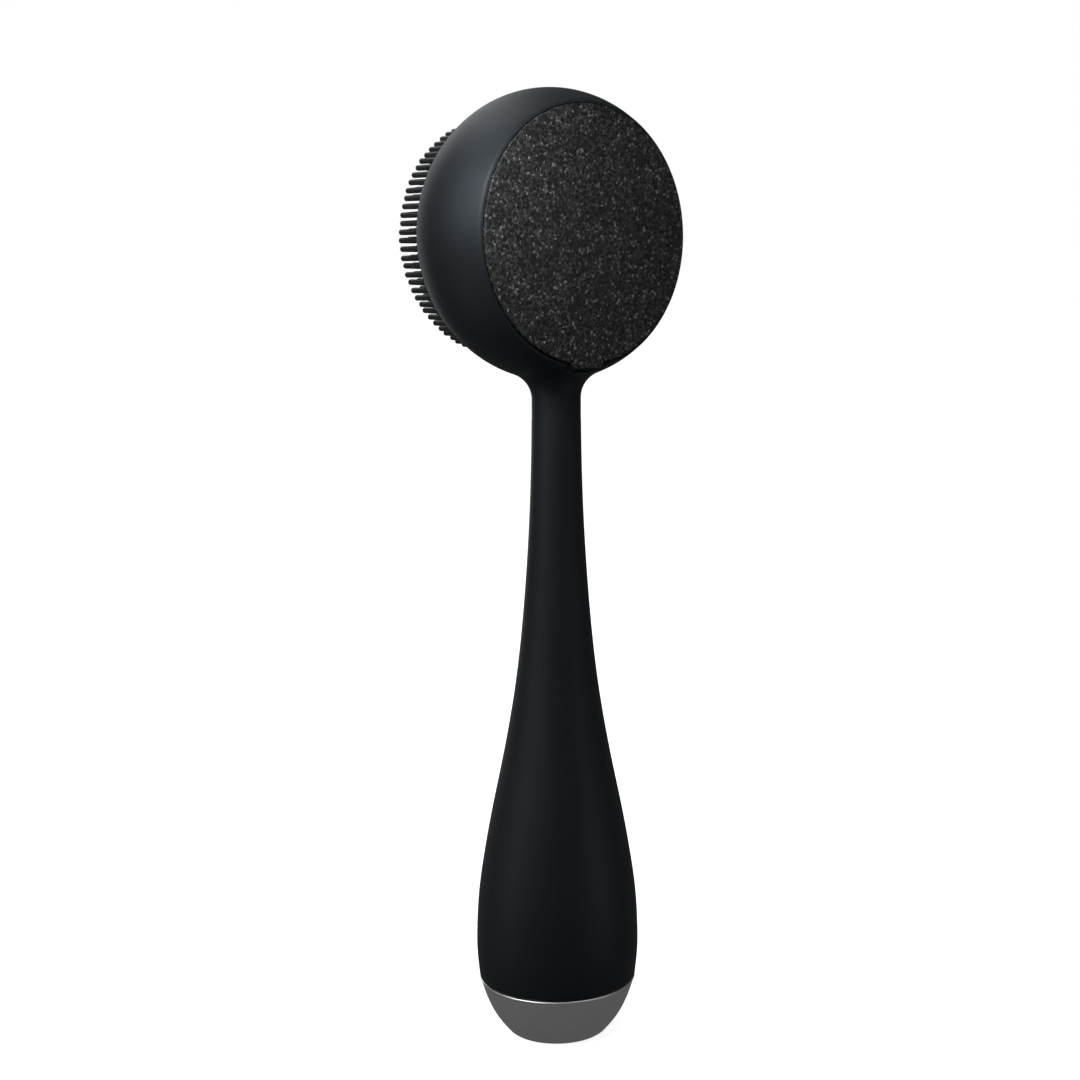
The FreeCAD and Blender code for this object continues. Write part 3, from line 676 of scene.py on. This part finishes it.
class SCRUBBER_OT_sleeve(bpy.types.Operator):
    """The silicone skin over head, neck and handle"""

    bl_idname = "scrubber.sleeve"
    bl_label = "Silicone sleeve"

    def execute(self, context):
        s = context.scene.scrubber_head
        loft = Loft()
        outer, inner = HeadForm(0), HeadForm(s.skin)
        pocket_r = PAD_R + PAD_GAP
        socket_r = (BRISTLE_HIGH.x - BRISTLE_LOW.x) / 2 + BRISTLE_GAP
        step = 2 * math.pi / HEAD_COLUMNS
        columns = (np.arange(HEAD_COLUMNS) - HEAD_COLUMNS // 2) * step
        notch_half = math.asin((TAB_HALF + NOTCH_GAP) / pocket_r)
        depth = np.zeros(HEAD_COLUMNS)
        for side in (-1, 1):
            nearest = int(np.argmin(np.abs(columns - side * notch_half)))
            for offset, share in ((-1, 0.0), (0, 0.5), (1, 1.0)):
                columns[nearest - side * offset] = side * (notch_half - offset * 0.004)
                depth[nearest - side * offset] = share
        depth[np.abs(columns) < notch_half - 0.0045] = 1.0

        notch_y = POCKET_LEDGE_Y - 0.02 * MM
        band = band_rows(outer, notch_y + 0.35 * MM, 13.5 * MM, 16.6 * MM)
        loops, hole = head_grid(loft, outer, band, columns)

        plain = rounded_rim(outer, s.pad_rim, s.rim_round, pocket_r)
        count = len(plain)
        lip = 0.3 * MM
        edge = outer.rim(notch_y)
        notch = [(outer.rim(notch_y + lip * (1 - k / 3)), notch_y + lip * (1 - k / 3)) for k in range(3)]
        notch += [(edge - 0.05 * MM, notch_y + 0.02 * MM)]
        notch += [(edge + (pocket_r - edge) * k / (count - 4), notch_y) for k in range(1, count - 3)]
        rims = []
        for (ra, ya), (rb, yb) in zip(plain, notch):
            r = ra + (rb - ra) * depth
            y = ya + (yb - ya) * depth
            rims.append(loft.loop(np.stack([r * np.sin(columns), y, HEAD_Z - r * np.cos(columns)], 1)))
        ledge_r = pocket_r - POCKET_LEDGE
        ledge = [(pocket_r, notch_y + 0.05 * MM), (pocket_r, POCKET_LEDGE_Y), (ledge_r, POCKET_LEDGE_Y),
                 (ledge_r, POCKET_BACK_Y)]

        def circle(r, y):
            return loft.loop(np.stack([r * np.sin(columns), np.full(len(columns), y),
                                       HEAD_Z - r * np.cos(columns)], 1))

        pad_side = [circle(r, y) for r, y in ledge]
        loft.chain([loops[0]] + rims + pad_side)
        bristle_rim = rounded_rim(outer, s.bristle_rim, s.rim_round, socket_r)
        bristle_side = [circle(r, y) for r, y in bristle_rim + [(socket_r, SOCKET_BACK_Y)]]
        loft.chain([loops[-1]] + bristle_side)

        inner_band = band_rows(inner, POCKET_BACK_Y + 0.4 * MM, 12.0 * MM, SOCKET_BACK_Y)
        inner_loops, inner_hole = head_grid(loft, inner, inner_band, columns)
        loft.chain([pad_side[-1], circle(inner.rim(POCKET_BACK_Y), POCKET_BACK_Y), inner_loops[0]])
        loft.chain([bristle_side[-1], inner_loops[-1]])

        ends = []
        for form, opening in ((outer, hole), (inner, inner_hole)):
            foot, angles = neck_patch(loft, form, opening)
            ends.append(handle_rings(loft, foot, angles, form.inset, BUTTON_R + BUTTON_GAP))
        (foot, button), (inner_foot, inner_button) = ends
        seam_r = float(HANDLE_R(SEAM_Z))
        seam = []
        for r, z in ((seam_r - 0.12 * MM, SEAM_Z + 0.12 * MM), (seam_r - 0.4 * MM, SEAM_Z)):
            seam.append(loft.loop([(r * math.cos(a), r * math.sin(a), z) for a in angles]))
        loft.chain([foot] + seam + [inner_foot])
        loft.chain([button, inner_button])
        sleeve = loft.finish("silicone_skin", silicone_finish())
        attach(sleeve, "scrubber_body")
        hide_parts("silicone_sleeve")
        return {"FINISHED"}


# ---- scrub pad ----
TAB_HALF = 5.45 * MM  # half the pull tab's width
TAB_SLANT = 1.3 * MM
STRETCH_FROM = 0.9  # share of the pad's radius beyond which the mesh follows the tab


def pad_edge(angle):
    """The pad's outline: its radius at an angle from straight down, with the pull tab there."""
    x = PAD_R * np.sin(angle)
    side = np.clip((TAB_HALF - np.abs(x)) / TAB_SLANT, 0, 1)
    down = np.abs(angle) < math.pi / 2
    reach = (HEAD_Z - PAD_LOW.z) / np.maximum(np.cos(angle), 0.5) - PAD_R
    return PAD_R + np.where(down, np.maximum(reach, 0) * side, 0)


def grit_growth(material):
    """Grains that stand out of the pad's front face."""
    g = Growth("Grit", {"Grain": "NodeSocketFloat", "Relief": "NodeSocketFloat"})
    place = g.node("GeometryNodeInputPosition")
    normal = g.node("GeometryNodeInputNormal")
    facing = g.node("ShaderNodeSeparateXYZ", {}, {0: normal}, 1)
    front = g.sum("LESS_THAN", facing, -0.8)
    size = g.sum("DIVIDE", 1.0, g.inputs["Grain"])
    grain = g.node("ShaderNodeTexVoronoi", {"feature": "F1"}, {"Vector": place, "Scale": size}, "Distance")
    rough = g.node("ShaderNodeTexNoise", {}, {"Vector": place, "Scale": g.sum("MULTIPLY", size, 0.33),
                                             "Detail": 3.0})
    height = g.sum("SUBTRACT", g.sum("MULTIPLY", rough, 1.1), grain)
    height = g.sum("MULTIPLY", g.sum("MULTIPLY", height, g.inputs["Relief"]), front)
    out = g.node("ShaderNodeCombineXYZ", {}, {1: g.sum("MULTIPLY", height, -1.0)})
    moved = g.node("GeometryNodeSetPosition", {}, {"Geometry": g.inputs["Geometry"], "Offset": out})
    return g.end(moved, material)


class SCRUBBER_OT_pad(bpy.types.Operator):
    """The gritty pad, with its pull tab and the relief of its grains"""

    bl_idname = "scrubber.pad"
    bl_label = "Scrub pad"

    def execute(self, context):
        s = context.scene.scrubber_grit
        face_y, back_y = PAD_LOW.y + 0.05 * MM, PAD_HIGH.y
        rings = round(PAD_R / s.step)
        points, faces = [(0.0, face_y, HEAD_Z)], []

        def ring_start(n):
            return 1 + 3 * n * (n - 1)

        for n in range(1, rings + 1):
            angle = np.arange(6 * n) * 2 * math.pi / (6 * n)
            share = n / rings
            stretch = np.clip((share - STRETCH_FROM) / (1 - STRETCH_FROM), 0, 1)
            r = PAD_R * share + (pad_edge((angle + math.pi) % (2 * math.pi) - math.pi) - PAD_R) * stretch
            points += [(q * math.sin(a), face_y, HEAD_Z - q * math.cos(a)) for q, a in zip(r, angle)]
        for n in range(1, rings + 1):
            inner_count, outer_count = max(6 * (n - 1), 1), 6 * n
            inner_at = ring_start(n - 1) if n > 1 else 0
            outer_at = ring_start(n)
            for sector in range(6):
                for k in range(n):
                    a = outer_at + (sector * n + k) % outer_count
                    b = outer_at + (sector * n + k + 1) % outer_count
                    c = inner_at + ((sector * (n - 1) + k) % inner_count if n > 1 else 0)
                    faces.append((a, b, c))
                    if k < n - 1:
                        d = inner_at + (sector * (n - 1) + k + 1) % inner_count
                        faces.append((b, d, c))
        loft = Loft()
        loft.points, loft.faces = points, faces
        last = list(range(ring_start(rings), ring_start(rings) + 6 * rings))
        edge = np.array([loft.points[i] for i in last])
        angle = np.arange(6 * rings) * 2 * math.pi / (6 * rings)
        radial = np.stack([np.sin(angle), np.zeros(len(angle)), -np.cos(angle)], 1)
        sides = []
        for inward, sink in ((0.12, 0.08), (0.0, 0.30), (0.0, 1.4), (0.0, 1.9)):
            ring = edge - radial * inward * MM
            ring[:, 1] = min(face_y + sink * MM, back_y)
            sides.append(loft.loop(ring))
        loft.chain([last] + sides)
        loft.fill(sides[-1], (0, back_y, HEAD_Z))
        shape = loft.finish("pad_form", grit_finish())
        material = shape.data.materials[0]
        values = {"Grain": s.grain, "Relief": s.relief}
        pad = grown(shape, "grit_pad", grit_growth(material), values, material)
        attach(pad, "scrub_pad_unit")
        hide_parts("scrub_pad")
        return {"FINISHED"}


# ---- bristles ----
BRISTLE_ROOT_Y = 16.6 * MM  # face of the round base that the bristles stand on


def bristle_growth(material):
    """Round-ended bristles on every point of the layout, each with its own slight lean and length."""
    g = Growth("Bristles", {"Radius": "NodeSocketFloat", "Length": "NodeSocketFloat",
                            "Lean": "NodeSocketFloat", "Seed": "NodeSocketInt"})
    ball = g.node("GeometryNodeMeshUVSphere", {}, {"Segments": 12, "Rings": 8, "Radius": g.inputs["Radius"]})
    place = g.node("GeometryNodeInputPosition")
    height = g.node("ShaderNodeSeparateXYZ", {}, {0: place}, 2)
    upper = g.sum("GREATER_THAN", height, 1e-5)
    lower = g.sum("LESS_THAN", height, -1e-5)
    stem = g.sum("SUBTRACT", g.inputs["Length"], g.inputs["Radius"])
    lift = g.node("ShaderNodeCombineXYZ", {}, {2: g.sum("MULTIPLY", upper, stem)})
    stretched = g.node("GeometryNodeSetPosition", {}, {"Geometry": ball, "Offset": lift})
    flare = g.sum("MULTIPLY", lower, 0.35)
    width = g.node("ShaderNodeCombineXYZ", {}, {0: flare, 1: flare, 2: g.sum("MULTIPLY", lower, -0.4)})
    spread = g.node("ShaderNodeVectorMath", {"operation": "MULTIPLY"}, {0: place, 1: width})
    bristle = g.node("GeometryNodeSetPosition", {}, {"Geometry": stretched, "Offset": spread})
    count = g.node("GeometryNodeInputIndex")
    leans = [
        g.node("FunctionNodeRandomValue", {"data_type": "FLOAT"},
               {2: g.sum("MULTIPLY", g.inputs["Lean"], -1.0), 3: g.inputs["Lean"], "ID": count,
                "Seed": g.sum("ADD", g.inputs["Seed"], float(extra))}, 1)
        for extra in (0, 1)
    ]
    turn = g.node("ShaderNodeCombineXYZ", {}, {0: g.sum("ADD", leans[0], -math.pi / 2), 2: leans[1]})
    size = g.node("FunctionNodeRandomValue", {"data_type": "FLOAT"},
                  {2: 0.985, 3: 1.01, "ID": count, "Seed": g.sum("ADD", g.inputs["Seed"], 2.0)}, 1)
    tall = g.node("ShaderNodeCombineXYZ", {}, {0: 1.0, 1: 1.0, 2: size})
    spots = g.node("GeometryNodeMeshToPoints", {}, {"Mesh": g.inputs["Geometry"]})
    sockets = {"Points": spots, "Instance": bristle, "Rotation": turn, "Scale": tall}
    field = g.node("GeometryNodeInstanceOnPoints", {}, sockets)
    return g.end(field, material)


class SCRUBBER_OT_bristles(bpy.types.Operator):
    """The round bristle pad and its rings of bristles"""

    bl_idname = "scrubber.bristles"
    bl_label = "Bristles"

    def execute(self, context):
        s = context.scene.scrubber_bristles
        material = silicone_finish("Bristle silicone")
        spots, radius = [], s.ring
        while radius > s.radius:
            count = round(2 * math.pi * radius / s.pitch)
            for k in range(count):
                a = s.start + 2 * math.pi * k / count
                spots.append((radius * math.cos(a), BRISTLE_ROOT_Y, HEAD_Z + radius * math.sin(a)))
            radius -= s.ring_step
        mesh = bpy.data.meshes.new("bristle_layout")
        mesh.from_pydata(spots, [], [])
        layout = bpy.data.objects.new("bristle_layout", mesh)
        context.scene.collection.objects.link(layout)
        length = BRISTLE_HIGH.y - BRISTLE_ROOT_Y
        values = {"Radius": s.radius, "Length": length, "Lean": s.lean, "Seed": s.seed}
        bristles = grown(layout, "bristles", bristle_growth(material), values, material)

        base_r = BRISTLE_HIGH.x
        low_y = BRISTLE_LOW.y
        profile = [(0, low_y), (base_r - 0.3 * MM, low_y), (base_r, low_y + 0.3 * MM)]
        corner = 0.5 * MM
        profile += arc((base_r - corner, BRISTLE_ROOT_Y - corner), corner, 0, math.pi / 2, 5)
        profile += [(base_r * share, BRISTLE_ROOT_Y) for share in (0.9, 0.6, 0.3, 0)]
        base = spun("bristle_base", profile, material, 200, "Y", (0, 0, HEAD_Z))
        for piece in (bristles, base):
            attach(piece, "scrubber_body")
        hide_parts("bristle_pad")
        return {"FINISHED"}


# ---- base cap and button ----
class SCRUBBER_OT_cap(bpy.types.Operator):
    """The gunmetal base cap with its rounded top edge"""

    bl_idname = "scrubber.cap"
    bl_label = "Base cap"

    def execute(self, context):
        outer_r = smooth_curve(CAP_OUTLINE[1:])
        top = CAP_HIGH.z
        wall = 1.5 * MM
        corner = 0.45 * MM
        first = CAP_OUTLINE[1][1] * MM
        base_r = CAP_OUTLINE[0][0] * MM
        profile = [(0, 0), (base_r * 0.5, 0), (base_r - 0.4 * MM, 0), (base_r, 0.03 * MM),
                   (base_r + 0.6 * MM, 0.18 * MM)]
        profile += [(float(outer_r(z)), z) for z in np.linspace(first, top - corner, 40)]
        edge = float(outer_r(top))
        profile += arc((edge - corner, top - corner), corner, 0.2, math.pi / 2, 7)
        profile += [(edge - wall, top), (edge - wall, top - 0.5 * MM)]
        profile += [(float(outer_r(z)) - wall, z) for z in np.linspace(top - 1 * MM, 3 * MM, 14)]
        profile += [(base_r - wall, wall), (0, wall)]
        cap = spun("gunmetal_cap", profile, metal_finish(), 192)
        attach(cap, "end_cap")
        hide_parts("base_cap")
        return {"FINISHED"}


class SCRUBBER_OT_button(bpy.types.Operator):
    """The domed power button on the bristle side"""

    bl_idname = "scrubber.button"
    bl_label = "Power button"

    def execute(self, context):
        low, high = BUTTON_LOW.y, BUTTON_HIGH.y
        crown = 16.0 * MM  # radius of the dome
        corner = 0.35 * MM
        centre_y = high - crown
        profile = [(0, low), (BUTTON_R * 0.6, low), (BUTTON_R - 0.2 * MM, low), (BUTTON_R, low + 0.2 * MM)]
        shoulder = centre_y + math.sqrt(crown ** 2 - (BUTTON_R - corner) ** 2)
        profile += arc((BUTTON_R - corner, shoulder - corner), corner, 0, math.pi / 2 - 0.1, 5)
        for share in np.linspace(0.9, 0.04, 22):
            r = BUTTON_R * share
            groove = math.exp(-((share - 0.52) / 0.055) ** 2) * 0.22 * MM
            profile.append((r, centre_y + math.sqrt(crown ** 2 - r ** 2) - groove))
        profile += [(0, high)]
        material = silicone_finish("Button silicone")
        button = spun("silicone_button", profile, material, 96, "Y", (0, 0, BUTTON_Z))
        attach(button, "button")
        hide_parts("power_button")
        return {"FINISHED"}


# ---- pieces that show only when it is open ----
class SCRUBBER_OT_inner(bpy.types.Operator):
    """Finishes for the pieces that show when the pad or the cap is off"""

    bl_idname = "scrubber.inner"
    bl_label = "Inner finishes"

    def execute(self, context):
        core = moulded_finish("Core plastic", (0.30, 0.31, 0.32), 0.5)
        dark = moulded_finish("Dark plastic", (0.022, 0.023, 0.025), 0.45)
        ivory = moulded_finish("Ivory plastic", (0.66, 0.62, 0.52), 0.4)
        board = moulded_finish("Solder mask", (0.012, 0.085, 0.04), 0.3, 0.002)
        chip = moulded_finish("Chip body", (0.012, 0.012, 0.013), 0.5)
        rubber = moulded_finish("Seal rubber", (0.010, 0.010, 0.010), 0.45)
        steel = plated_finish("Zinc-plated steel", (0.55, 0.55, 0.56))
        nickel = plated_finish("Nickel plate", (0.66, 0.65, 0.62), 0.2)
        brass = plated_finish("Plated brass", (0.72, 0.58, 0.30))
        heavy = plated_finish("Sintered weight", (0.36, 0.33, 0.29), 0.45)
        red = moulded_finish("Red insulation", (0.42, 0.02, 0.015), 0.35)
        black = moulded_finish("Black insulation", (0.012, 0.012, 0.012), 0.35)
        cell = cell_finish()
        finishes = {
            "core_front": core, "core_rear": core, "motor_cradle": core,
            "pad_plate": dark, "thread_collar": dark, "cap_plug": dark, "contact_carrier": dark,
            "battery_tray": dark, "button_plunger": dark,
            "cap_seal": rubber, "button_gasket": rubber,
            "keeper_ring": steel, "core_screws": steel, "board_screws": steel, "strap_screws": steel,
            "motor_strap": steel, "motor_shaft": steel, "motor_can": steel,
            "pad_magnets": nickel,
            "bridge_contact": brass, "positive_contact": brass, "negative_contact": brass,
            "motor_end_bell": ivory, "eccentric_weight": heavy,
            "control_board": board, "power_switch": chip, "board_components": chip,
            "motor_lead_red": red, "motor_lead_black": black,
            "battery_left": cell, "battery_right": cell,
        }
        for name, material in finishes.items():
            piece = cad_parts[name]
            for slot in piece.material_slots:
                slot.material = material
        return {"FINISHED"}


# ---- studio ----
def studio_axes(azimuth):
    """Unit vectors right of the view, back towards the camera, and up."""
    right = Vector((math.cos(azimuth), math.sin(azimuth), 0))
    back = Vector((math.sin(azimuth), -math.cos(azimuth), 0))
    return right, back, Vector((0, 0, 1))


def softbox(name, turn, rise, size, power, distance=1.0, height=0.15):
    """A square soft light aimed at the object, turn degrees right of the camera and rise degrees up."""
    right, back, up = studio_axes(bpy.context.scene.scrubber_studio.azimuth)
    turn, rise = math.radians(turn), math.radians(rise)
    way = (back * math.cos(turn) + right * math.sin(turn)) * math.cos(rise) + up * math.sin(rise)
    lamp = bpy.data.lights.new(name, "AREA")
    lamp.shape = "SQUARE"
    lamp.size = size
    lamp.energy = power
    light = bpy.data.objects.new(name, lamp)
    light.location = Vector((0, 0, height)) + way * distance
    light.rotation_euler = (-way).to_track_quat("-Z", "Y").to_euler()
    bpy.context.scene.collection.objects.link(light)


def floor_finish():
    """Matt white; it glows towards the horizon, so that the far floor is as pale as the near floor."""
    f = Finish("Pale floor", Specular_IOR_Level=0.1, Emission_Strength=1.0)
    cloud = f.noise(0.4, 2.0)
    away = f.node("ShaderNodeVectorMath", {"operation": "LENGTH"}, {0: f.place}, 1)
    glow = f.node("ShaderNodeMapRange", {"interpolation_type": "SMOOTHSTEP"},
                  {"Value": away, 1: 0.05, 2: 0.45})
    f.set(
        Base_Color=f.mix(cloud, (0.90, 0.90, 0.90), (0.93, 0.93, 0.93)),
        Roughness=0.85 + cloud * 0.1,
        Emission_Color=f.mix(glow, (0.80, 0.80, 0.80), (1.0, 1.0, 1.0)),
    )
    return f.material


def room_light(strength):
    """A world that is white behind the object and gives dim even light from all round."""
    world = bpy.data.worlds.new("Studio")
    world.use_nodes = True
    tree = world.node_tree
    soft = tree.nodes["Background"]
    soft.inputs["Strength"].default_value = strength
    soft.inputs["Color"].default_value = (1.0, 1.0, 1.0, 1.0)
    white = tree.nodes.new("ShaderNodeBackground")
    white.inputs["Color"].default_value = (1.0, 1.0, 1.0, 1.0)
    seen = tree.nodes.new("ShaderNodeLightPath")
    choice = tree.nodes.new("ShaderNodeMixShader")
    tree.links.new(seen.outputs["Is Camera Ray"], choice.inputs[0])
    tree.links.new(soft.outputs[0], choice.inputs[1])
    tree.links.new(white.outputs[0], choice.inputs[2])
    tree.links.new(choice.outputs[0], tree.nodes["World Output"].inputs["Surface"])
    return world


class SCRUBBER_OT_studio(bpy.types.Operator):
    """Camera, soft lights and pale floor"""

    bl_idname = "scrubber.studio"
    bl_label = "Studio"

    def execute(self, context):
        scene = context.scene
        s = scene.scrubber_studio
        right, back, up = studio_axes(s.azimuth)
        place = back * s.distance + right * s.side + up * s.height
        forward = -back * math.cos(s.pitch) - up * math.sin(s.pitch)
        over = -back * math.sin(s.pitch) + up * math.cos(s.pitch)
        across = right * math.cos(s.roll) + over * math.sin(s.roll)
        over = -right * math.sin(s.roll) + over * math.cos(s.roll)
        camera = bpy.data.objects.new("Camera", bpy.data.cameras.new("Camera"))
        turned = Matrix((across, over, -forward)).transposed().to_4x4()
        camera.matrix_world = Matrix.Translation(place) @ turned
        camera.data.lens = s.lens
        camera.data.sensor_width = 36.0
        camera.data.shift_x = s.shift
        camera.data.clip_start = 0.01
        scene.collection.objects.link(camera)
        scene.camera = camera

        softbox("Key softbox", -48, 32, 0.3, s.key, 0.5)
        softbox("Top softbox", 60, 65, 0.5, s.top)
        softbox("Back softbox", -120, 65, 0.5, s.back)
        softbox("Edge softbox", -150, 35, 0.5, s.edge)
        softbox("Low softbox", -150, 5, 0.5, s.low)
        softbox("Near softbox", -11, 24, 0.035, s.near, 0.098, HEAD_Z)
        softbox("Left foot softbox", -65, 4, 0.12, s.foot, 0.22, 0.03)
        softbox("Right foot softbox", 62, 4, 0.12, s.foot, 0.22, 0.03)

        floor_mesh = bpy.data.meshes.new("floor")
        reach = 12.0
        corners = [(-reach, -reach, 0), (reach, -reach, 0), (reach, reach, 0), (-reach, reach, 0)]
        floor_mesh.from_pydata(corners, [], [(0, 1, 2, 3)])
        floor_mesh.materials.append(floor_finish())
        floor = bpy.data.objects.new("floor", floor_mesh)
        scene.collection.objects.link(floor)
        floor.visible_diffuse = False
        floor.visible_glossy = False
        scene.world = room_light(s.room)
        scene.view_settings.view_transform = "Standard"
        return {"FINISHED"}


class SCRUBBER_PT_pieces(bpy.types.Panel):
    """Lists the pieces and their sizes"""

    bl_idname = "SCRUBBER_PT_pieces"
    bl_label = "Skin scrubber"
    bl_space_type = "VIEW_3D"
    bl_region_type = "UI"
    bl_category = "Scrubber"

    def draw(self, context):
        layout = self.layout
        for operator in PIECES:
            layout.operator(operator.bl_idname)
        for key in SETTINGS:
            group = getattr(context.scene, key)
            box = layout.box()
            for name in group.__annotations__:
                box.prop(group, name)


SETTINGS = {
    "scrubber_head": ScrubberHead,
    "scrubber_bristles": ScrubberBristles,
    "scrubber_grit": ScrubberGrit,
    "scrubber_colours": ScrubberColours,
    "scrubber_studio": ScrubberStudio,
}
PIECES = (SCRUBBER_OT_studio, SCRUBBER_OT_sleeve, SCRUBBER_OT_pad, SCRUBBER_OT_bristles, SCRUBBER_OT_cap,
          SCRUBBER_OT_button, SCRUBBER_OT_inner)
CLASSES = (*SETTINGS.values(), *PIECES, SCRUBBER_PT_pieces)


def register():
    for cls in CLASSES:
        bpy.utils.register_class(cls)
    for key, group in SETTINGS.items():
        setattr(bpy.types.Scene, key, PointerProperty(type=group))


def unregister():
    for key in SETTINGS:
        delattr(bpy.types.Scene, key)
    for cls in reversed(CLASSES):
        bpy.utils.unregister_class(cls)


def main():
    register()
    bpy.ops.scrubber.studio()
    bpy.ops.scrubber.sleeve()
    bpy.ops.scrubber.pad()
    bpy.ops.scrubber.bristles()
    bpy.ops.scrubber.cap()
    bpy.ops.scrubber.button()
    bpy.ops.scrubber.inner()


if __name__ == "__main__":
    main()
